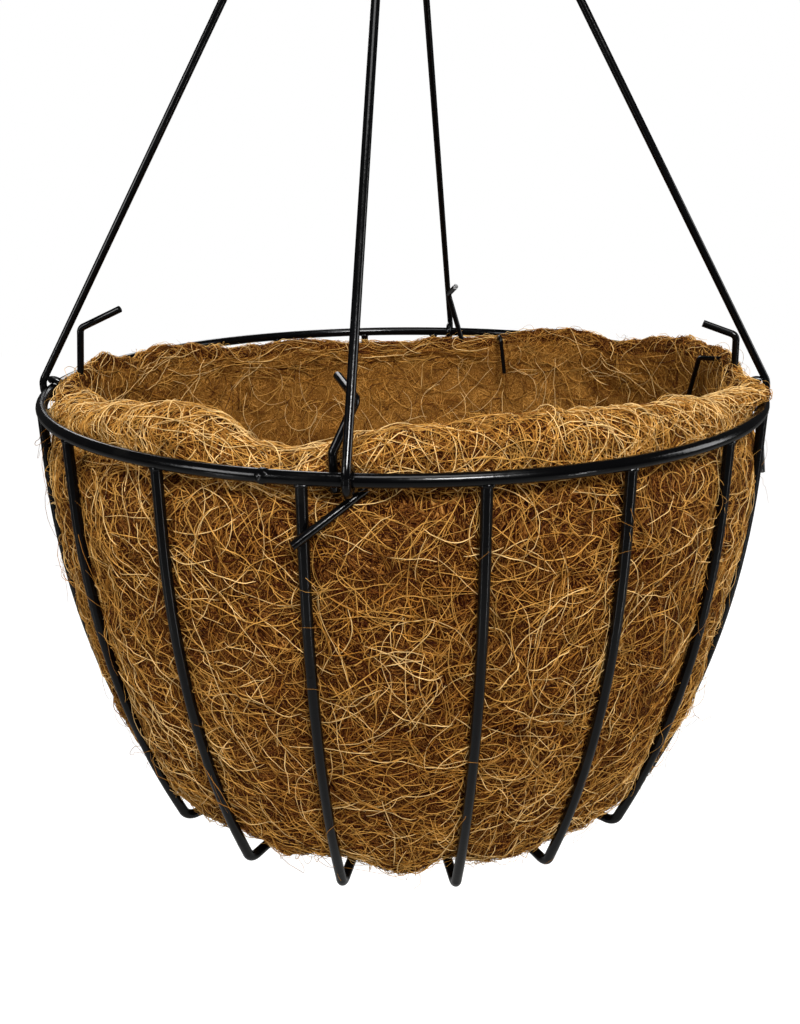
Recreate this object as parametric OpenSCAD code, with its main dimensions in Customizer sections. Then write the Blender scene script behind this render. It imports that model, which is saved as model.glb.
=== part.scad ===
// Wire hanging basket with a coir liner and a four-wire hanger.
// Z is up, the feet stand on z = 0, and azimuth 0 is the front (-Y), growing towards +X.

/* [Basket] */
// Radius of the rim ring, to the middle of its wire
rim_r = 178; // [170:1:190]
// Height of the rim ring's middle above the ground
rim_z = 207; // [195:1:215]
// Diameter of the rim wire
rim_wire = 5.4; // [5:0.1:5.6]
// Diameter of the rib wire
rib_wire = 4.6; // [4.2:0.1:4.8]
// Straight drop of a rib below the rim, before it curves in
rib_drop = 25; // [20:1:30]
// Radius of a rib's long curve
rib_curve = 447; // [430:1:470]
// Angle that a rib's long curve turns through
rib_turn = 22; // [20:0.5:23]
// Inside bend radius at a foot
foot_bend = 7; // [5:0.5:9]
// Radius of the base ring, to the middle of its wire
base_r = 60; // [50:1:70]

/* [Liner] */
// Gap between the liner and the rib wires
liner_gap = 0.6; // [0.3:0.1:1.5]
// Thickness of the liner wall and floor
liner_wall = 10; // [7:0.5:12]
// Radius of the rolled edge
roll_r = 11; // [9:0.5:11.5]
// Height of the roll's middle above the rim ring
roll_rise = 6; // [4:0.5:8]

/* [Hanger] */
// Diameter of the hanger wires
arm_wire = 3.6; // [3.2:0.1:3.8]
// Play between a hanger hook and the rim ring
hook_play = 0.25; // [0.2:0.05:0.4]
// Straight upright between a hanger hook and the slant of its wire
arm_upright = 4; // [3:0.5:8]
// Height of the hub plate above the rim ring
hub_rise = 286; // [270:1:300]
// Radius of the hub plate
hub_r = 17; // [16.5:0.1:17.5]
// Thickness of the hub plate
hub_t = 2.5; // [2:0.1:3]
// Diameter of the wire of the swivel hook
swivel_wire = 4.6; // [4:0.1:5]
// Inside radius of the swivel hook
swivel_r = 15; // [12:0.5:18]

/* [Clips] */
// Diameter of the liner clip wire
clip_wire = 3.4; // [3:0.1:3.6]
// Diameter of the liner pin wire
pin_wire = 2.6; // [2.2:0.1:3]

/* [Hidden] */
$fn = 48;
rib_count = 18;
rib_step = 360 / rib_count;
rib_phase = -11.6;
// Ribs are bent by hand: these few stand off the even spacing, as [number, degrees]
rib_trims = [[2, 1.2], [10, 4.5], [16, 1.5], [17, 0.3], [18, 0.4]];
function rib_trim(i) = let (found = [for (t = rib_trims) if (t[0] == i) t[1]]) len(found) ? found[0] : 0;
function rib_az(i) = rib_phase + (i - 1) * rib_step + rib_trim(i);

// Hanger wires: name, azimuth
arms = [["front", -6.1], ["right", 82], ["back", 169.3], ["left", -85]];
// How far the liner's rolled front reaches to each side of azimuth 0
roll_reach = 84;
// Liner clips as [name, points], each point [radius, azimuth, height above the rim]:
// inner tail, bend, leg through or past the liner, and what follows under the rim
clips = [
    ["front", [[141, -9.9, 29.5], [165, -5.6, 25.8], [171.4, -8.3, 8], [171.3, -8.2, -7], [161, -7.2, -10]]],
    ["right", [[149.5, 82, 32], [165, 80.5, 27], [167.5, 81.5, -10], [183, 85, -11.5], [183.5, 79, -40]]],
    ["back", [[145, 166, 34], [165, 169, 27], [165, 165, -10], [183, 170, -11.5], [183.5, 161, -26]]],
    ["left", [[141.5, -86, 39], [163.5, -88, 29], [166.5, -86.5, -10], [183, -84.25, -11.5], [183.5, -96, -25]]]
];

function two(i) = str(i < 10 ? "0" : "", i);

wire_black = "#17181a";
coir_brown = "#a97b3c";

joint_swell = 0.08;
rib_rad = rib_wire / 2;
foot_z = rib_rad;
base_z = foot_z + rib_wire - 0.4;
curve_z = rim_z - rib_drop;
curve_x = rim_r - rib_curve;
foot_x = curve_x + rib_curve * cos(rib_turn);
foot_top = curve_z - rib_curve * sin(rib_turn);
hook_r = rim_wire / 2 + hook_play + arm_wire / 2;
hub_z = rim_z + hub_rise;
eye_r = 5;
eye_x = hub_r - 1;
hub_hole_x = eye_x - eye_r;
collar_t = 3;
shank_bottom = hub_z - hub_t / 2 - 0.3 - collar_t - 1;
swivel_z = hub_z + 34;

// A point at radius r, azimuth a and height z
function at(r, a, z) = [r * sin(a), -r * cos(a), z];
function unit(v) = v / norm(v);
function angle_at(a, b, c) = acos(max(-1, min(1, unit(b - a) * unit(c - b))));
// Length that a bend of radius r takes off each side of the corner b
function trim_at(a, b, c, r) = r * tan(angle_at(a, b, c) / 2);

// Turns a shape's Z axis to the direction v
module along(v) {
    rotate([0, acos(v[2] / norm(v)), atan2(v[1], v[0])]) children();
}

// A straight round rod from a to b
module rod(a, b, d) {
    translate(a) along(b - a) cylinder(d = d, h = norm(b - a));
}

// The round bend at the corner b of a path a, b, c
module elbow(a, b, c, d, r) {
    turn = angle_at(a, b, c);
    n = unit(cross(b - a, c - b));
    start = b - unit(b - a) * trim_at(a, b, c, r);
    y = unit(b - a);
    x = cross(y, n);
    centre = start - x * r;
    multmatrix([
        [x[0], y[0], n[0], centre[0]],
        [x[1], y[1], n[1], centre[1]],
        [x[2], y[2], n[2], centre[2]],
        [0, 0, 0, 1]])
        rotate_extrude(angle = turn) translate([r, 0]) circle(d = d);
}

// A ball a hair wider than the wire, its pole along v, which joins two stretches into one solid
module join_ball(p, v, d) {
    translate(p) along(v) sphere(d = d + joint_swell);
}

// A bent wire through the points p, with bends of radius r at its corners
module wire(p, d, r) {
    last = len(p) - 1;
    for (i = [0:last - 1]) {
        u = unit(p[i + 1] - p[i]);
        t0 = i == 0 ? 0 : trim_at(p[i - 1], p[i], p[i + 1], r);
        t1 = i == last - 1 ? 0 : trim_at(p[i], p[i + 1], p[i + 2], r);
        rod(p[i] + u * t0, p[i + 1] - u * t1, d);
        if (i > 0) join_ball(p[i] + u * t0, u, d);
        if (i < last - 1) join_ball(p[i + 1] - u * t1, u, d);
    }
    for (i = [1:1:last - 1]) elbow(p[i - 1], p[i], p[i + 1], d, r);
}

// Stands a shape drawn in the XZ plane up at azimuth a
module swing(a) {
    rotate([0, 0, a - 90]) children();
}

module ring(r, z, d) {
    translate([0, 0, z]) rotate_extrude($fn = 180) translate([r, 0]) circle(d = d, $fn = 48);
}

module rim_ring() {
    color(wire_black) ring(rim_r, rim_z, rim_wire);
}

module base_ring() {
    color(wire_black) ring(base_r, base_z, rib_wire);
}

// One rib: straight below the rim, a long curve inwards, the foot bend, and the leg under the liner
module rib(i) {
    slope = [-sin(rib_turn), 0, -cos(rib_turn)];
    fall = (foot_top - foot_z) / cos(rib_turn);
    corner = [foot_x, 0, foot_top] + slope * fall;
    color(wire_black) swing(rib_az(i)) {
        rod([rim_r, 0, curve_z], [rim_r, 0, rim_z - 1], rib_wire);
        translate([curve_x, 0, curve_z]) rotate([90, 0, 0]) rotate([0, 0, -rib_turn])
            rotate_extrude(angle = rib_turn, $fn = 360) translate([rib_curve, 0]) circle(d = rib_wire, $fn = 48);
        wire([[foot_x, 0, foot_top], corner, [base_r - 1, 0, foot_z]], rib_wire, foot_bend);
        join_ball([rim_r, 0, curve_z], [0, 0, 1], rib_wire);
        join_ball([foot_x, 0, foot_top], slope, rib_wire);
    }
}

// Radius of the rib's middle at height z
function rib_x(z) = z > curve_z ? rim_r : curve_x + sqrt(pow(rib_curve, 2) - pow(curve_z - z, 2));

// Plain closed shell of the liner: wall, floor, and the edge that is rolled over at the front
module coir_liner() {
    out = rib_rad + liner_gap;
    floor_z = base_z + rib_rad + 0.5;
    low = 20;
    corner_r = foot_x - 7.6;
    roll_x = rim_r - 8.5 - roll_r;
    roll_z = rim_z + roll_rise;
    edge_r = roll_x + roll_r - 0.8;
    heights = [for (z = [low:18:rim_z - 21]) z];
    outer = [for (z = heights) [rib_x(z) - out, z]];
    inner = [for (z = heights) [rib_x(z) - out - liner_wall, z]];
    skin = concat(
        [[0, floor_z], [corner_r - 6, floor_z], [corner_r, floor_z + 3.5]],
        outer,
        [[edge_r, rim_z - 10], [edge_r, roll_z + 1], [edge_r - liner_wall, roll_z + 1],
         [edge_r - liner_wall, rim_z - 12]],
        [for (k = [len(inner) - 1:-1:0]) inner[k]],
        [[corner_r - 14, floor_z + liner_wall], [0, floor_z + liner_wall]]
    );
    color(coir_brown) {
        rotate_extrude($fn = 180) polygon(skin);
        rotate([0, 0, -90 - roll_reach]) translate([0, 0, roll_z])
            rotate_extrude(angle = 2 * roll_reach, $fn = 180) translate([roll_x, 0]) circle(r = roll_r);
    }
}

// One hanger wire: hook round the rim, short upright, long slant and the eye in the hub
module hanger_wire(az) {
    rim_side = rim_r + hook_r;
    eye_point = [eye_x + eye_r * cos(40), 0, hub_z - eye_r * sin(40)];
    color(wire_black) swing(az) {
        translate([rim_r, 0, rim_z]) rotate([90, 0, 0]) rotate([0, 0, -292])
            rotate_extrude(angle = 292) translate([hook_r, 0]) circle(d = arm_wire);
        wire([[rim_side, 0, rim_z], [rim_side, 0, rim_z + arm_upright], eye_point], arm_wire, 7);
        join_ball([rim_side, 0, rim_z], [0, 0, 1], arm_wire);
        translate([eye_x, 0, hub_z]) rotate([90, 0, 0])
            rotate_extrude() translate([eye_r, 0]) circle(d = arm_wire);
    }
}

// A bent wire through points given as [radius, azimuth, height above the rim]
module rim_wire_form(points, d, r) {
    color(wire_black) wire([for (p = points) at(p[0], p[1], rim_z + p[2])], d, r);
}

// One liner clip: inner tail over the liner's edge, leg down through or past the liner, outer end
module liner_clip(points) {
    rim_wire_form(points, clip_wire, 3.2);
}

// The front pin runs from inside the roll down over a rib; the other two grip the liner's inner face
module liner_pin_front() {
    rim_wire_form([[153, -2.5, 1], [161.5, 0.5, 3.2], [185.5, -12.2, -23]], clip_wire, 3.2);
}

module liner_pin_back() {
    rim_wire_form([[171, 158, -7], [157.5, 155.5, 2.5], [156, 154, -23]], pin_wire, 3);
}

module liner_pin_right() {
    rim_wire_form([[166, 86, -8], [164, 87.5, 12], [156, 92, 10.5], [156.5, 96.5, -14]], pin_wire, 3.2);
}

// Round plate with a hole for each eye and one for the swivel hook
module hanger_hub() {
    color(wire_black) translate([0, 0, hub_z - hub_t / 2]) difference() {
        cylinder(r = hub_r, h = hub_t);
        for (a = arms) translate(at(hub_hole_x, a[1], -1)) cylinder(d = 6.5, h = hub_t + 2);
        translate([0, 0, -1]) cylinder(d = swivel_wire + 0.6, h = hub_t + 2);
    }
}

// Open hook on a straight shank that turns in the hub
module swivel_hook() {
    mid_r = swivel_r + swivel_wire / 2;
    centre_z = swivel_z + 16;
    start = [-mid_r, 0, centre_z];
    color(wire_black) {
        wire([[0, 0, shank_bottom], [0, 0, swivel_z - 8], [-mid_r, 0, swivel_z + 4], start], swivel_wire, 8);
        join_ball(start, [0, 0, 1], swivel_wire);
        translate([0, 0, centre_z]) rotate([90, 0, 0]) rotate([0, 0, -50])
            rotate_extrude(angle = 230) translate([mid_r, 0]) circle(d = swivel_wire);
    }
}

// Pressed collar that keeps the hook's shank in the hub
module hook_collar() {
    color(wire_black) translate([0, 0, shank_bottom + 1]) difference() {
        cylinder(d = 13, h = collar_t);
        translate([0, 0, -1]) cylinder(d = swivel_wire - 0.1, h = collar_t + 2);
    }
}

rim_ring();
base_ring();
for (i = [1:rib_count]) rib(i);
coir_liner();
for (a = arms) hanger_wire(a[1]);
for (c = clips) liner_clip(c[1]);
liner_pin_front();
liner_pin_right();
liner_pin_back();
hanger_hub();
swivel_hook();
hook_collar();
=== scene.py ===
"""Looks of the wire hanging basket: coir liner, loose fibres, welds, coated wire, light and camera."""
import bpy
import math
import numpy as np
from mathutils import Matrix, Vector


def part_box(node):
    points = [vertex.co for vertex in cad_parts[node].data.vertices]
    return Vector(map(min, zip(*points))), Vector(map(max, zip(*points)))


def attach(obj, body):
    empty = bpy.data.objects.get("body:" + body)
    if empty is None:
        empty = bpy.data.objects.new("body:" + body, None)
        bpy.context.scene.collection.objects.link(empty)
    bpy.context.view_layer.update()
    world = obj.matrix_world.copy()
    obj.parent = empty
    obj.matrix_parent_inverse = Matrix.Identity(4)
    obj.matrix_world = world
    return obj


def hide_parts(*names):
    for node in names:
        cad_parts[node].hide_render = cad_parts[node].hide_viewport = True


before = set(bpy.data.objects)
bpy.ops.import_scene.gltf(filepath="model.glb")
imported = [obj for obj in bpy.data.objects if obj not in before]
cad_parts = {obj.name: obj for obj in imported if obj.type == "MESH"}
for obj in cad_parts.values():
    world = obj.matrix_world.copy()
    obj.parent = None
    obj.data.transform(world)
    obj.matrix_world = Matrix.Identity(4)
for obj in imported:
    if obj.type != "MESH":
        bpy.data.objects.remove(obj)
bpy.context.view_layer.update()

MM = 0.001
rng = np.random.default_rng(7)


# ---------------------------------------------------------------- sizes taken from the frame

def size_from_frame():
    """The rim ring, the ribs and the liner as the CAD has them, in metres and radians."""
    low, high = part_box("rim_ring")
    wire = high.z - low.z
    rib_low, rib_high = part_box("rib_01")
    liner_low, liner_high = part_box("coir_liner")
    azimuths = []
    for name in sorted(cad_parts):
        if name.startswith("rib_"):
            co = np.array([v.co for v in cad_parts[name].data.vertices])
            mean = co.mean(0)
            azimuths.append(math.atan2(mean[0], -mean[1]))
    return {
        "rim_z": (low.z + high.z) / 2,
        "rim_r": (high.x - low.x - wire) / 2,
        "rim_wire": wire,
        "rib_az": np.sort(np.array(azimuths)),
        "rib_wire": 4.2 * MM,
        "floor_z": liner_low.z,
        "liner_r": (liner_high.x - liner_low.x) / 2,
    }


SIZE = size_from_frame()
RIM_Z, RIM_R = SIZE["rim_z"], SIZE["rim_r"]


# ---------------------------------------------------------------- camera

def make_camera():
    """A camera a little above the rim, close in, tilted down: the near side looks larger than the far one."""
    distance = 2.846 * RIM_R
    above, tilt, turn, roll = (math.radians(a) for a in (11.17, 18.95, -0.17, -0.31))
    place = Vector((0, -distance * math.cos(above), RIM_Z + distance * math.sin(above)))
    forward = Vector((math.sin(turn) * math.cos(tilt), math.cos(turn) * math.cos(tilt), -math.sin(tilt)))
    right = Vector((math.cos(turn), -math.sin(turn), 0))
    up = right.cross(forward)
    right, up = (right * math.cos(roll) + up * math.sin(roll), up * math.cos(roll) - right * math.sin(roll))
    data = bpy.data.cameras.new("camera")
    data.sensor_width = 36
    data.lens = 33.72
    data.clip_start = 0.01
    camera = bpy.data.objects.new("camera", data)
    camera.matrix_world = Matrix((right, up, -forward)).transposed().to_4x4()
    camera.location = place
    bpy.context.scene.collection.objects.link(camera)
    bpy.context.scene.camera = camera


make_camera()


# ---------------------------------------------------------------- material helpers

def new_material(name):
    material = bpy.data.materials.new(name)
    material.use_nodes = True
    nodes, links = material.node_tree.nodes, material.node_tree.links
    return material, nodes, links, nodes["Principled BSDF"]


def noise(nodes, links, coords, scale, detail=4.0, rough=0.55, distortion=0.0):
    n = nodes.new("ShaderNodeTexNoise")
    n.inputs["Scale"].default_value = scale
    n.inputs["Detail"].default_value = detail
    n.inputs["Roughness"].default_value = rough
    n.inputs["Distortion"].default_value = distortion
    links.new(coords, n.inputs["Vector"])
    return n.outputs["Fac"]


def ramp(nodes, links, value, stops):
    r = nodes.new("ShaderNodeValToRGB")
    while len(r.color_ramp.elements) < len(stops):
        r.color_ramp.elements.new(0.5)
    for element, (place, colour) in zip(r.color_ramp.elements, stops):
        element.position = place
        element.color = (*colour, 1)
    links.new(value, r.inputs["Fac"])
    return r.outputs["Color"]


def spread_to(nodes, links, value, low, high, start=0.3, end=0.7):
    m = nodes.new("ShaderNodeMapRange")
    m.inputs["From Min"].default_value = start
    m.inputs["From Max"].default_value = end
    m.inputs["To Min"].default_value = low
    m.inputs["To Max"].default_value = high
    links.new(value, m.inputs["Value"])
    return m.outputs["Result"]


def bump(nodes, links, height, strength, distance, bsdf):
    b = nodes.new("ShaderNodeBump")
    b.inputs["Strength"].default_value = strength
    b.inputs["Distance"].default_value = distance
    links.new(height, b.inputs["Height"])
    links.new(b.outputs["Normal"], bsdf.inputs["Normal"])


def coated_wire(name, base, dust):
    """Glossy black coating: slightly uneven, with faint dull patches where it has rubbed."""
    material, nodes, links, bsdf = new_material(name)
    coords = nodes.new("ShaderNodeTexCoord").outputs["Object"]
    patches = noise(nodes, links, coords, 45, 5, 0.6)
    colour = ramp(nodes, links, patches, [(0.35, base), (0.62, base), (0.8, dust)])
    links.new(colour, bsdf.inputs["Base Color"])
    links.new(spread_to(nodes, links, patches, 0.12, 0.26, 0.35, 0.75), bsdf.inputs["Roughness"])
    bsdf.inputs["Specular IOR Level"].default_value = 0.22
    bsdf.inputs["Coat Weight"].default_value = 0.05
    bsdf.inputs["Coat Roughness"].default_value = 0.08
    peel = noise(nodes, links, coords, 420, 2, 0.5)
    bump(nodes, links, peel, 0.16, 0.0004, bsdf)
    return material


def coir_mat(name, stops):
    """The matted body of the liner, seen through the gaps between the loose strands; the near-black stops given for
    the outside paint the shade that falls in those gaps.
    """
    material, nodes, links, bsdf = new_material(name)
    coords = nodes.new("ShaderNodeTexCoord").outputs["Object"]
    warp = nodes.new("ShaderNodeTexNoise")
    warp.inputs["Scale"].default_value = 38
    warp.inputs["Detail"].default_value = 2
    links.new(coords, warp.inputs["Vector"])
    bend = nodes.new("ShaderNodeMixRGB")
    bend.blend_type = "LINEAR_LIGHT"
    bend.inputs["Fac"].default_value = 0.022
    links.new(coords, bend.inputs["Color1"])
    links.new(warp.outputs["Color"], bend.inputs["Color2"])
    strands = None
    for turn, scale in (((0, 0, 0), (1700, 1700, 170)), ((0.9, 0.4, 0.3), (170, 1700, 1700)),
                        ((-0.7, 0.5, 1.1), (1700, 170, 1700))):
        m = nodes.new("ShaderNodeMapping")
        m.inputs["Rotation"].default_value = turn
        m.inputs["Scale"].default_value = scale
        links.new(bend.outputs["Color"], m.inputs["Vector"])
        layer = noise(nodes, links, m.outputs["Vector"], 1, 2, 0.5)
        if strands is None:
            strands = layer
        else:
            top = nodes.new("ShaderNodeMath")
            top.operation = "MAXIMUM"
            links.new(strands, top.inputs[0])
            links.new(layer, top.inputs[1])
            strands = top.outputs[0]
    fine = ramp(nodes, links, strands, stops)
    patches = noise(nodes, links, coords, 26, 4, 0.6)
    tint = ramp(nodes, links, patches, [(0.3, (0.72, 0.64, 0.56)), (0.55, (1, 1, 1)), (0.75, (1.0, 0.97, 0.86))])
    mix = nodes.new("ShaderNodeMixRGB")
    mix.blend_type = "MULTIPLY"
    mix.inputs["Fac"].default_value = 1
    links.new(fine, mix.inputs["Color1"])
    links.new(tint, mix.inputs["Color2"])
    links.new(mix.outputs["Color"], bsdf.inputs["Base Color"])
    bsdf.inputs["Roughness"].default_value = 0.9
    bsdf.inputs["Specular IOR Level"].default_value = 0.03
    bump(nodes, links, strands, 0.9, 0.0012, bsdf)
    return material


def fibre_material(name, shade):
    """One shade of coconut fibre, paler and darker along its length."""
    material, nodes, links, bsdf = new_material(name)
    coords = nodes.new("ShaderNodeTexCoord").outputs["Object"]
    along = noise(nodes, links, coords, 160, 3, 0.6)
    dark = tuple(0.62 * c for c in shade)
    pale = tuple(min(1, 1.25 * c) for c in shade)
    colour = ramp(nodes, links, along, [(0.3, dark), (0.5, shade), (0.72, pale)])
    links.new(colour, bsdf.inputs["Base Color"])
    bsdf.inputs["Roughness"].default_value = 0.6
    bsdf.inputs["Specular IOR Level"].default_value = 0.08
    return material


# ---------------------------------------------------------------- smooth random fields

class Field:
    """Smooth random values on a lattice, from -1 to 1, with azimuth wrapping round."""

    def __init__(self, around, along):
        self.grid = rng.uniform(-1, 1, (along + 2, around))
        self.around, self.along = around, along

    def __call__(self, azimuth, share):
        u = (azimuth / (2 * math.pi) % 1) * self.around
        v = np.clip(share, 0, 1) * self.along
        i, j = np.floor(u).astype(int), np.floor(v).astype(int)
        fu, fv = u - i, v - j
        fu, fv = fu * fu * (3 - 2 * fu), fv * fv * (3 - 2 * fv)
        i0, i1 = i % self.around, (i + 1) % self.around
        g = self.grid
        low = g[j, i0] * (1 - fu) + g[j, i1] * fu
        high = g[j + 1, i0] * (1 - fu) + g[j + 1, i1] * fu
        return low * (1 - fv) + high * fv


def step(value, start, end):
    t = np.clip((value - start) / (end - start), 0, 1)
    return t * t * (3 - 2 * t)


# ---------------------------------------------------------------- the liner's shape

RIB_DROP, RIB_CURVE = 25 * MM, 447 * MM


def rib_radius(z):
    """Radius of the ribs' middle at height z."""
    below = np.maximum(RIM_Z - RIB_DROP - z, 0)
    return RIM_R - RIB_CURVE + np.sqrt(RIB_CURVE ** 2 - below ** 2)


SKIN, WALL = 2.9 * MM, 10.5 * MM
# The edge's outline from outside to inside as (radius, height above the rim) in mm: rolled over, and plain
ROLLED_EDGE = [(173.8, -13), (170.8, -7), (169.4, -1), (169.6, 5), (168.5, 11), (164.5, 15.5), (158, 17),
               (151, 15), (146.8, 9), (147, 1), (151, -6), (156.5, -11), (160.5, -19)]
PLAIN_EDGE = [(174, -13), (171.4, -8), (170, -4), (169.6, 0), (169.4, 4), (168.6, 7.5), (166.4, 9.3),
              (164.2, 8.4), (162.8, 5), (162.5, 0), (162.8, -6), (163.5, -13), (164.2, -19)]
# How high the edge stands above the rim round the basket, as (azimuth in degrees, height in mm)
CREST = [(-180, -5), (-166, -6), (-157, -2), (-145, -5), (-135, -2), (-124, 6), (-108, 4), (-100, 10), (-88, 9),
         (-75, 5), (-57, 4.5), (-45, 11), (-35, 14), (-27, 14), (-20, 6), (-13, 5), (-8, 7), (-4, 12.5), (10, 15),
         (23, 18), (35, 15.5), (45, 12), (52, 11), (62, 7), (74, 8), (85, 15), (97, 13), (105, 15), (114, 12),
         (120, 8), (124, 3), (128, 1), (132, 8), (141, 7), (150, 4), (160, 0), (170, -4)]


def section(edge):
    """The liner's section as dense (radius, height) points: floor, outer wall, edge, inner wall, floor."""
    floor = SIZE["floor_z"] + 0.6 * MM
    pts = [(0, floor), (50 * MM, floor), (100 * MM, floor), (124 * MM, floor + 0.3 * MM),
           (132 * MM, floor + 1.6 * MM), (137.3 * MM, floor + 4.6 * MM), (140.4 * MM, floor + 8.5 * MM)]
    for z in np.arange(26, 190, 10) * MM:
        pts.append((float(rib_radius(z)) - SKIN, float(z)))
    pts += [(r * MM, RIM_Z + z * MM) for r, z in edge]
    for z in np.arange(180, 31, -10) * MM:
        pts.append((float(rib_radius(z)) - SKIN - WALL, float(z)))
    pts += [(128 * MM, floor + 14 * MM), (119 * MM, floor + 10.6 * MM), (100 * MM, floor + 9.7 * MM),
            (50 * MM, floor + 9.5 * MM), (0, floor + 9.5 * MM)]
    pts = np.array(pts)
    dense = []
    for k in range(len(pts) - 1):
        before, after = pts[max(k - 1, 0)], pts[min(k + 2, len(pts) - 1)]
        for t in np.linspace(0, 1, 12, endpoint=False):
            a, b = pts[k], pts[k + 1]
            dense.append(0.5 * (2 * a + (b - before) * t + (2 * before - 5 * a + 4 * b - after) * t * t
                                + (3 * a - before - 3 * b + after) * t ** 3))
    dense.append(pts[-1])
    return np.array(dense)


DENSE, PLAIN = section(ROLLED_EDGE), section(PLAIN_EDGE)
ALONG = np.concatenate([[0], np.cumsum(np.linalg.norm(np.diff(DENSE, axis=0), axis=1))])
LENGTH = ALONG[-1]
ROWS, COLS = 330, 720
LUMPS = [(Field(44, 26), 1.7 * MM), (Field(120, 70), 1.2 * MM), (Field(330, 190), 0.6 * MM)]
ROLL_LUMPS = Field(34, 12)
SAG = Field(18, 1)
RAGGED = [(Field(46, 1), 1.5 * MM), (Field(150, 1), 0.9 * MM)]


def near_rib(azimuth):
    """0 on a rib, 1 half way to the next."""
    ribs = np.concatenate([SIZE["rib_az"] - 2 * math.pi, SIZE["rib_az"], SIZE["rib_az"] + 2 * math.pi])
    after = np.searchsorted(ribs, azimuth)
    low, high = ribs[after - 1], ribs[after]
    share = (azimuth - low) / (high - low)
    return np.sin(np.pi * share)


def hump(azimuth, place, width):
    """1 at a place round the rim, falling off smoothly over a width, both in degrees."""
    away = np.degrees((azimuth - math.radians(place) + math.pi) % (2 * math.pi) - math.pi)
    return np.exp(-(away / width) ** 2)


def rolled(azimuth):
    """1 where the liner's edge is rolled over, at the front, and 0 where it stands up plain."""
    return 1 - step(np.abs(np.degrees(azimuth)), 62, 78)


def crest(azimuth):
    """How high above the rim the edge stands."""
    places, heights = np.array(CREST, dtype=float).T
    soft = [np.interp(np.degrees(azimuth) + shift, places, heights, period=360) for shift in (-2.5, 0, 2.5)]
    return sum(soft) / 3 * MM


def liner_grid():
    """Points of the liner's skin, rows along the section and columns round the basket."""
    s = np.linspace(0, LENGTH, ROWS)
    azimuth = np.linspace(-math.pi, math.pi, COLS, endpoint=False)
    az, share = np.meshgrid(azimuth, s / LENGTH)
    front = rolled(az)
    r0, z0 = (np.interp(s, ALONG, DENSE[:, k])[:, None] * front
              + np.interp(s, ALONG, PLAIN[:, k])[:, None] * (1 - front) for k in (0, 1))
    slope_r, slope_z = np.gradient(r0, axis=0), np.gradient(z0, axis=0)
    size = np.maximum(np.hypot(slope_r, slope_z), 1e-9)
    normal_r, normal_z = slope_z / size, -slope_r / size
    outer = np.arange(ROWS)[:, None] < np.argmax(z0, axis=0)[None, :]
    wall = step(z0, 22 * MM, 60 * MM) * (1 - step(z0, RIM_Z - 30 * MM, RIM_Z - 12 * MM))
    between = near_rib(az)
    push = np.where(outer, (2.4 * between - 0.5) * MM, -0.8 * MM * between) * wall
    lumps = sum(size * field(az, share) for field, size in LUMPS)
    by_ring = outer & (np.abs(z0 - RIM_Z) < 9 * MM)
    calm = np.where(outer & (z0 > 30 * MM), 0.3 + 0.7 * between, 1)
    calm = np.where(by_ring, 0.3, calm * (0.35 + 0.65 * step(np.abs(z0 - RIM_Z), 5 * MM, 13 * MM)))
    push = push + lumps * calm * step(r0, 0, 40 * MM)
    edge = step(z0, RIM_Z - 14 * MM, RIM_Z + 6 * MM)
    push = push + 1.8 * MM * edge * ROLL_LUMPS(az, share) * np.where(by_ring, 0.2, 1) * (0.4 + 0.6 * front)
    r = r0 + normal_r * push
    z = z0 + normal_z * push
    top = z0.max(axis=0)
    lift = crest(az) - (top - RIM_Z) + (1 - front) * sum(size * field(az, 0 * az) for field, size in RAGGED)
    z = z + lift * step(z0, RIM_Z - 24 * MM, top)
    flop = hump(az, 68, 6) * step(z, RIM_Z + 2 * MM, RIM_Z + 6 * MM)
    snug = (hump(az, 66, 6) + hump(az, -68, 7)) * outer * step(z, RIM_Z - 12 * MM, RIM_Z - 5 * MM)
    r = r + 11 * MM * flop + 3.2 * MM * snug
    low = step(r0, 96 * MM, 126 * MM) * (1 - step(z0, 16 * MM, 44 * MM))
    z = z - (4.6 + 2.4 * SAG(az, 0 * az)) * MM * between * low
    r[0], r[-1] = 0, 0
    return np.stack([r * np.sin(az), -r * np.cos(az), z], 2)


GRID = liner_grid()


def grid_normals(grid):
    around = np.roll(grid, -1, 1) - np.roll(grid, 1, 1)
    along = np.gradient(grid, axis=0)
    n = np.cross(around, along)
    return n / np.maximum(np.linalg.norm(n, axis=2), 1e-9)[:, :, None]


NORMALS = grid_normals(GRID)


def on_skin(azimuth, s, height):
    """Points a height above the liner's skin, with the skin's normals there."""
    u = (azimuth / (2 * math.pi) + 0.5) % 1 * COLS
    v = np.clip(s / LENGTH, 0, 0.9999) * (ROWS - 1)
    i, j = np.floor(u).astype(int), np.floor(v).astype(int)
    fu, fv = (u - i)[..., None], (v - j)[..., None]
    i0, i1 = i % COLS, (i + 1) % COLS
    out = []
    for g in (GRID, NORMALS):
        out.append((g[j, i0] * (1 - fu) + g[j, i1] * fu) * (1 - fv)
                   + (g[j + 1, i0] * (1 - fu) + g[j + 1, i1] * fu) * fv)
    point, normal = out
    normal = normal / np.maximum(np.linalg.norm(normal, axis=-1), 1e-9)[..., None]
    return point + normal * height[..., None], normal


def mesh_object(name, points, faces, material, body="basket"):
    """A smooth-shaded mesh piece from arrays, riding on a body."""
    mesh = bpy.data.meshes.new(name)
    mesh.vertices.add(len(points))
    mesh.vertices.foreach_set("co", np.ascontiguousarray(points, dtype=np.float32).ravel())
    corners = faces.shape[1]
    mesh.loops.add(faces.size)
    mesh.loops.foreach_set("vertex_index", np.ascontiguousarray(faces, dtype=np.int32).ravel())
    mesh.polygons.add(len(faces))
    mesh.polygons.foreach_set("loop_start", np.arange(0, faces.size, corners, dtype=np.int32))
    mesh.polygons.foreach_set("use_smooth", np.ones(len(faces), dtype=bool))
    mesh.update(calc_edges=True)
    mesh.materials.append(material)
    piece = bpy.data.objects.new(name, mesh)
    bpy.context.scene.collection.objects.link(piece)
    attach(piece, body)
    return piece


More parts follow.
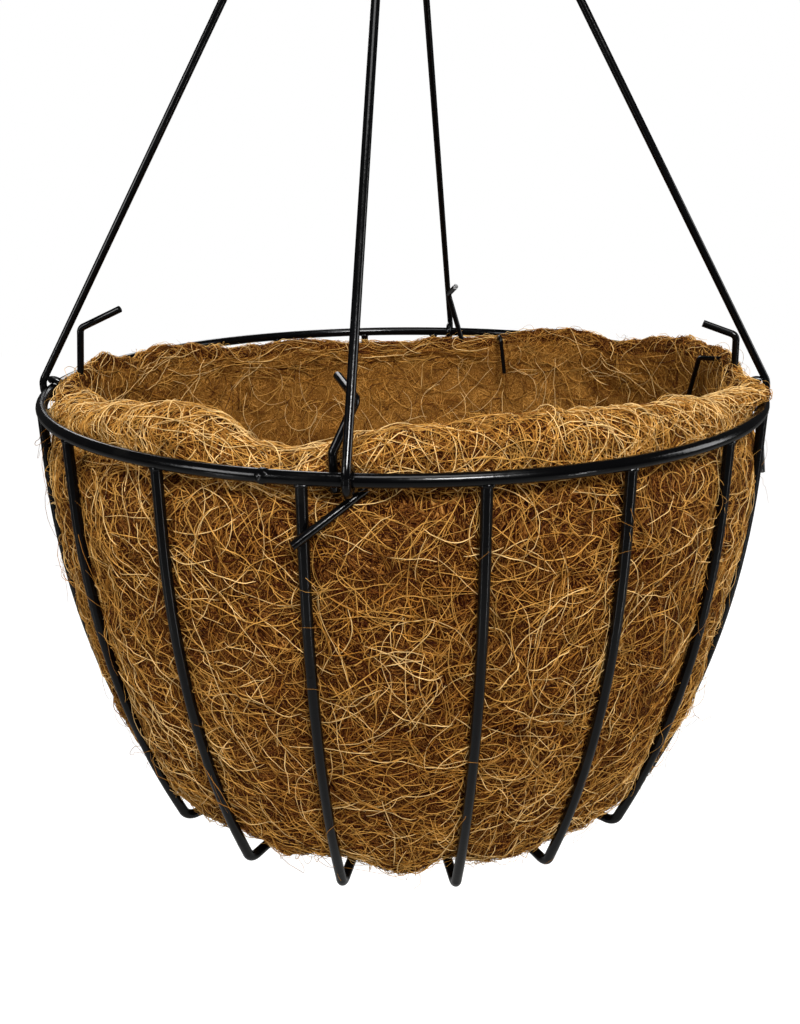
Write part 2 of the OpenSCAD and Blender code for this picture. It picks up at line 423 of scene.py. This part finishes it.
def make_liner():
    rows, cols = ROWS, COLS
    body = GRID[1:-1].reshape(-1, 3)
    i, j = np.meshgrid(np.arange(cols), np.arange(rows - 3))
    a, b = j * cols + i, j * cols + (i + 1) % cols
    quads = np.stack([a, a + cols, b + cols, b], 2).reshape(-1, 4)
    tris = np.concatenate([quads[:, [0, 2, 1]], quads[:, [0, 3, 2]]])
    low, high = len(body), len(body) + 1
    last = (rows - 3) * cols
    k = np.arange(cols)
    caps = np.concatenate([
        np.stack([np.full(cols, low), (k + 1) % cols, k], 1),
        np.stack([np.full(cols, high), last + k, last + (k + 1) % cols], 1),
    ])
    points = np.concatenate([body, [GRID[0].mean(0)], [GRID[-1].mean(0)]])
    faces = np.concatenate([tris, caps])
    # Outside felt: coir brown, with its darkest stops near black as painted shade in the gaps between the strands.
    outside = coir_mat("coir_mat", [(0.52, (0.010, 0.0015, 0.0001)), (0.58, (0.06, 0.016, 0.002)),
                                    (0.65, (0.22, 0.085, 0.016)), (0.76, (0.44, 0.22, 0.060))])
    # Inside felt: the same coir painted lighter, as painted light on the inner wall.
    inside = coir_mat("coir_mat_inside_painted_light", [(0.50, (0.10, 0.036, 0.005)), (0.58, (0.22, 0.092, 0.016)),
                                          (0.65, (0.36, 0.168, 0.034)), (0.76, (0.54, 0.28, 0.075))])
    piece = mesh_object("coir_liner_felt", points, faces, outside)
    piece.data.materials.append(inside)
    inner_row = int(np.argmax(DENSE[:, 1]) / len(DENSE) * rows)
    low_vertex = faces.min(1)
    piece.data.polygons.foreach_set("material_index", (low_vertex > inner_row * cols).astype(np.int32))
    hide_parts("coir_liner")
    return piece


liner = make_liner()


# ---------------------------------------------------------------- coconut fibres

def tubes(paths, normals, radii, sides=3):
    """Thin closed tubes along many paths at once: paths and normals are (fibre, ring, 3), radii (fibre, ring)."""
    count, rings = paths.shape[:2]
    tangent = np.gradient(paths, axis=1)
    tangent /= np.maximum(np.linalg.norm(tangent, axis=2), 1e-9)[:, :, None]
    across = np.cross(tangent, normals)
    across /= np.maximum(np.linalg.norm(across, axis=2), 1e-9)[:, :, None]
    up = np.cross(across, tangent)
    turn = np.arange(sides) * 2 * math.pi / sides
    offset = (across[:, :, None] * np.cos(turn)[None, None, :, None]
              + up[:, :, None] * np.sin(turn)[None, None, :, None])
    points = paths[:, :, None] + offset * radii[:, :, None, None]
    base = (np.arange(count) * rings * sides)[:, None, None]
    ring = (np.arange(rings - 1) * sides)[None, :, None]
    k = np.arange(sides)[None, None, :]
    a, b = base + ring + k, base + ring + (k + 1) % sides
    faces = [np.stack([a, b + sides, b], 3).reshape(-1, 3), np.stack([a, a + sides, b + sides], 3).reshape(-1, 3)]
    start = (np.arange(count) * rings * sides)[:, None]
    end = start + (rings - 1) * sides
    for m in range(1, sides - 1):
        faces.append(np.concatenate([start, start + m, start + m + 1], 1))
        faces.append(np.concatenate([end, end + m + 1, end + m], 1))
    return points.reshape(-1, 3), np.concatenate(faces)


def wander(count, rings, length, curl, lean):
    """Headings along curled fibres: start at random, turn at a random and slowly changing rate."""
    heading = rng.uniform(0, 2 * math.pi, count)
    aligned = rng.random(count) < lean[0]
    heading = np.where(aligned, lean[1] + rng.normal(0, 0.35, count), heading)
    rate = rng.normal(0, curl, count) * length / (rings - 1)
    change = rng.normal(0, curl * 0.8, count) * length / (rings - 1)
    k = np.linspace(-0.5, 0.5, rings)
    turning = rate[:, None] + change[:, None] * 2 * k[None, :] + rng.normal(0, 0.06, (count, rings))
    return heading[:, None] + np.cumsum(turning, 1)


def skin_fibres(count, rings, low, high, reach, length, radius, lift, curl, lean=(0, 0)):
    """Fibres lying on the skin between two places along the section, to a reach each side of the front,
    as (paths, normals, radii)."""
    size = rng.uniform(*length, count)
    heading = wander(count, rings, size, curl, lean)
    stride = (size / (rings - 1))[:, None]
    s = rng.uniform(low, high, count)[:, None] + np.cumsum(np.sin(heading) * stride, 1)
    s = low + np.abs(s - low)
    s = high - np.abs(high - s)
    radius_there = np.maximum(np.interp(s, ALONG, DENSE[:, 0]), 12 * MM)
    azimuth = rng.uniform(-reach, reach, count)[:, None] + np.cumsum(np.cos(heading) * stride / radius_there, 1)
    k = np.linspace(0, 1, rings)[None, :]
    wave = np.sin(k * rng.uniform(4, 11, (count, 1)) + rng.uniform(0, 6.3, (count, 1)))
    top = rng.uniform(*lift, (count, 1))
    height = top * (0.65 + 0.35 * wave)
    height = height * np.minimum(1, np.minimum(k, 1 - k) * 7) - 0.25 * MM * (np.minimum(k, 1 - k) < 0.04)
    rim = np.interp(s, ALONG, DENSE[:, 1])
    outside = s < ALONG[int(np.argmax(DENSE[:, 1]))]
    by_ring = outside & (np.abs(rim - RIM_Z) < 8 * MM)
    height = np.where(by_ring, np.minimum(height, 1.0 * MM), height)
    paths, normals = on_skin(azimuth, s, height)
    width = rng.uniform(*radius, (count, 1)) * (0.45 + 0.55 * np.minimum(1, np.minimum(k, 1 - k) * 9))
    return paths, normals, width


def stray_fibres(count, rings, low, high, length, reach, radius):
    """Fibres that leave the skin in loose curls; a third come back to it."""
    size = rng.uniform(*length, count)
    heading = wander(count, rings, size, 26, (0, 0))
    stride = (size / (rings - 1))[:, None]
    s = np.clip(rng.uniform(low, high, count)[:, None] + np.cumsum(np.sin(heading) * stride, 1), low, high)
    radius_there = np.maximum(np.interp(s, ALONG, DENSE[:, 0]), 12 * MM)
    azimuth = rng.uniform(-math.pi, math.pi, count)[:, None] + np.cumsum(np.cos(heading) * stride / radius_there, 1)
    k = np.linspace(0, 1, rings)[None, :]
    loops = (rng.random((count, 1)) < 0.35)
    rise = np.where(loops, np.sin(math.pi * k), k ** 1.4)
    height = rng.uniform(*reach, (count, 1)) * rise - 0.3 * MM * (k < 0.03)
    paths, _ = on_skin(azimuth, s, height)
    reference = rng.normal(0, 1, (count, 1, 3))
    reference /= np.linalg.norm(reference, axis=2)[:, :, None]
    width = rng.uniform(*radius, (count, 1)) * (1 - 0.6 * k)
    return paths, np.broadcast_to(reference, paths.shape), width


def place_along(radius_share, outer=True):
    """Where along the section the height share between floor and rim lies, outside or inside."""
    z = SIZE["floor_z"] + radius_share * (RIM_Z - SIZE["floor_z"])
    peak = int(np.argmax(DENSE[:, 1]))
    part = slice(0, peak) if outer else slice(peak, len(ALONG))
    return float(ALONG[part][int(np.argmin(np.abs(DENSE[part, 1] - z)))])


SHADES = {
    "umber": (0.040, 0.006, 0.0005),
    "brown": (0.13, 0.040, 0.005),
    "tan": (0.30, 0.125, 0.018),
    "gold": (0.50, 0.255, 0.056),
    "straw": (0.70, 0.45, 0.18),
}
# Shade, share of the fibres, and how high above the felt they lie, in mm
UNDER = [("umber", 0.22, (0.1, 0.9)), ("brown", 0.20, (0.1, 1.0)), ("tan", 0.32, (0.2, 1.2)),
         ("gold", 0.26, (0.4, 1.6))]
OVER = [("brown", 0.12, (0.6, 1.6)), ("tan", 0.24, (0.8, 2.0)), ("gold", 0.34, (1.0, 2.4)),
        ("straw", 0.30, (1.2, 2.9))]


def add_fibres(name, paths, normals, radii, material):
    """The fibres as one or more pieces, each small enough to be kept at its full number of faces."""
    faces_each = paths.shape[1] * 6 - 4
    pieces = math.ceil(len(paths) * faces_each / 190000)
    for k in range(pieces):
        part = slice(k, None, pieces)
        points, faces = tubes(paths[part], normals[part], radii[part])
        mesh_object(name if pieces == 1 else f"{name}_{k + 1}", points, faces, material)


def make_fibres():
    """All fibres, by shade and region."""
    peak = float(ALONG[int(np.argmax(DENSE[:, 1]))])
    outside, inside = (0.0, peak), (peak - 4 * MM, LENGTH)
    over_edge = (place_along(0.97), place_along(0.9, outer=False))
    round_, front = math.pi, math.radians(72)
    short, long = (8 * MM, 24 * MM), (20 * MM, 60 * MM)
    layers = [
        # name, shades, count, place along the section, reach, rings, length, radius, curl, (lean share, lean angle)
        ("outer_under", UNDER, 27000, outside, round_, 7, short, (0.14 * MM, 0.22 * MM), 66, (0.1, math.pi / 2)),
        ("outer_over", OVER, 7400, outside, round_, 12, (14 * MM, 50 * MM), (0.12 * MM, 0.23 * MM), 32,
         (0.12, math.pi / 2)),
        ("edge_under", UNDER, 3000, over_edge, front, 7, short, (0.14 * MM, 0.22 * MM), 70, (0.1, 0.0)),
        ("edge_over", OVER, 1300, over_edge, front, 14, long, (0.13 * MM, 0.24 * MM), 40, (0.3, 0.0)),
        ("inner_under", UNDER, 12000, inside, round_, 7, short, (0.14 * MM, 0.23 * MM), 66, (0.1, 0.0)),
        ("inner_over", OVER, 3000, inside, round_, 12, long, (0.14 * MM, 0.24 * MM), 36, (0.2, math.pi / 2)),
    ]
    materials = {shade: fibre_material("coir_" + shade, colour) for shade, colour in SHADES.items()}
    for zone, shades, count, (low, high), reach, rings, length, radius, curl, lean in layers:
        for shade, share, lift in shades:
            paths, normals, radii = skin_fibres(
                int(count * share), rings, low, high, reach, length, radius,
                (lift[0] * MM, lift[1] * MM), curl, lean)
            add_fibres(f"coir_{zone}_{shade}", paths, normals, radii, materials[shade])
    strays = [
        ("fuzz", 2400, 0.0, place_along(0.9, outer=False), (8 * MM, 26 * MM), (1.5 * MM, 6 * MM), "gold"),
        ("loops", 150, place_along(0.05), place_along(1.0), (35 * MM, 110 * MM), (5 * MM, 13 * MM), "tan"),
    ]
    for name, count, low, high, length, reach, shade in strays:
        paths, normals, radii = stray_fibres(count, 14, low, high, length, reach, (0.10 * MM, 0.19 * MM))
        add_fibres("coir_" + name, paths, normals, radii, materials[shade])


make_fibres()


# ---------------------------------------------------------------- welds

def make_welds(material):
    """A small flattened bead where each rib meets the rim ring, and the rim's own butt weld."""
    places = [(a, 2.7 * MM, -2.3 * MM, 0.0) for a in SIZE["rib_az"]]
    places.append((math.radians(-16.1), 2.9 * MM, 0.0, 1.0))
    turns, tiers = 20, 12
    all_points, all_faces, start = [], [], 0
    for azimuth, size, drop, butt in places:
        phi = np.linspace(0, math.pi, tiers)[1:-1]
        theta = np.arange(turns) * 2 * math.pi / turns
        t, p = np.meshgrid(theta, phi)
        ball = np.stack([np.sin(p) * np.cos(t), np.sin(p) * np.sin(t), np.cos(p)], 2).reshape(-1, 3)
        ball = np.concatenate([ball, [[0, 0, 1], [0, 0, -1]]])
        ball *= (1 + rng.normal(0, 0.05, len(ball)))[:, None]
        stretch = (1.15, 1.5, 1.02) if butt else (0.95, 1.15, 0.5)
        ball = ball * np.array(stretch) * size
        out = np.array([math.sin(azimuth), -math.cos(azimuth), 0])
        side = np.array([math.cos(azimuth), math.sin(azimuth), 0])
        centre = out * RIM_R + np.array([0, 0, RIM_Z + drop])
        points = centre + ball[:, :1] * out + ball[:, 1:2] * side + ball[:, 2:] * np.array([0, 0, 1])
        i, j = np.meshgrid(np.arange(turns), np.arange(tiers - 3))
        a, b = j * turns + i, j * turns + (i + 1) % turns
        quads = np.stack([a, a + turns, b + turns, b], 2).reshape(-1, 4)
        k = np.arange(turns)
        top, bottom, last = len(ball) - 2, len(ball) - 1, (tiers - 3) * turns
        faces = np.concatenate([
            quads[:, [0, 1, 2]], quads[:, [0, 2, 3]],
            np.stack([np.full(turns, top), k, (k + 1) % turns], 1),
            np.stack([np.full(turns, bottom), last + (k + 1) % turns, last + k], 1)])
        all_points.append(points)
        all_faces.append(faces + start)
        start += len(points)
    mesh_object("weld_beads", np.concatenate(all_points), np.concatenate(all_faces), material)


# ---------------------------------------------------------------- CAD materials

def dress_cad():
    frame_black = coated_wire("frame_black", (0.0012, 0.0012, 0.0014), (0.006, 0.0057, 0.0052))
    wire_black = coated_wire("wire_black", (0.0014, 0.0014, 0.0016), (0.007, 0.0067, 0.0062))
    for name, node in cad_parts.items():
        if name == "coir_liner":
            continue
        slot_material = frame_black if name.startswith(("rim", "base", "rib")) else wire_black
        if not node.material_slots:
            node.data.materials.append(slot_material)
        for entry in node.material_slots:
            entry.material = slot_material
    make_welds(frame_black)


dress_cad()


# ---------------------------------------------------------------- floor, world and lights

def make_stage():
    """A pale floor well below the hanging basket."""
    mesh = bpy.data.meshes.new("floor")
    half, depth = 6.0, -0.8
    mesh.from_pydata([(-half, -half, depth), (half, -half, depth), (half, half, depth), (-half, half, depth)],
                     [], [(0, 1, 2, 3)])
    material, nodes, links, bsdf = new_material("floor_pale")
    coords = nodes.new("ShaderNodeTexCoord").outputs["Object"]
    tone = noise(nodes, links, coords, 3, 2, 0.5)
    links.new(ramp(nodes, links, tone, [(0.3, (0.30, 0.30, 0.295)), (0.7, (0.33, 0.33, 0.325))]),
              bsdf.inputs["Base Color"])
    bsdf.inputs["Roughness"].default_value = 0.9
    bsdf.inputs["Emission Color"].default_value = (1, 1, 1, 1)
    seen = nodes.new("ShaderNodeMath")
    seen.operation = "MULTIPLY"
    seen.inputs[1].default_value = 0.93
    links.new(nodes.new("ShaderNodeLightPath").outputs["Is Camera Ray"], seen.inputs[0])
    links.new(seen.outputs[0], bsdf.inputs["Emission Strength"])
    mesh.materials.append(material)
    floor = bpy.data.objects.new("floor", mesh)
    bpy.context.scene.collection.objects.link(floor)


def make_world():
    """White to the eye, dimmer as a light, so that the black wires stay black."""
    world = bpy.data.worlds.new("studio")
    world.use_nodes = True
    nodes, links = world.node_tree.nodes, world.node_tree.links
    path = nodes.new("ShaderNodeLightPath")
    shader = None
    for colour, strength, ray in (((1, 0.985, 0.96, 1), 0.23, None), ((1, 1, 1, 1), 0.03, "Is Glossy Ray"),
                                  ((1, 1, 1, 1), 1.0, "Is Camera Ray")):
        background = nodes.new("ShaderNodeBackground")
        background.inputs["Color"].default_value = colour
        background.inputs["Strength"].default_value = strength
        if ray:
            mix = nodes.new("ShaderNodeMixShader")
            links.new(path.outputs[ray], mix.inputs["Fac"])
            links.new(shader, mix.inputs[1])
            links.new(background.outputs["Background"], mix.inputs[2])
            shader = mix.outputs["Shader"]
        else:
            shader = background.outputs["Background"]
    links.new(shader, nodes["World Output"].inputs["Surface"])
    bpy.context.scene.world = world


def softbox(name, place, width, height, power, aim=None):
    data = bpy.data.lights.new(name, "AREA")
    data.shape, data.size, data.size_y = "RECTANGLE", width, height
    data.energy = power
    light = bpy.data.objects.new(name, data)
    light.location = place
    toward = (aim or Vector((0, 0, RIM_Z * 0.6))) - Vector(place)
    light.rotation_euler = toward.to_track_quat("-Z", "Y").to_euler()
    bpy.context.scene.collection.objects.link(light)


make_stage()
make_world()
softbox("key", (0.5, -1.55, 1.45), 0.55, 0.4, 48)
softbox("fill", (-1.5, -1.2, 0.9), 0.8, 0.8, 19)
softbox("top", (0.1, -0.5, 1.8), 0.9, 0.7, 11)
softbox("side", (1.8, 0.1, 0.6), 0.6, 1.0, 10)
softbox("behind", (-0.5, 1.7, 1.1), 0.9, 0.8, 9)
softbox("strip_right", (1.3, -1.0, -0.45), 0.05, 0.9, 2.4)
softbox("strip_left", (-1.3, -1.0, -0.45), 0.05, 0.9, 1.2)

scene = bpy.context.scene
scene.view_settings.view_transform = "Standard"
scene.view_settings.look = "None"
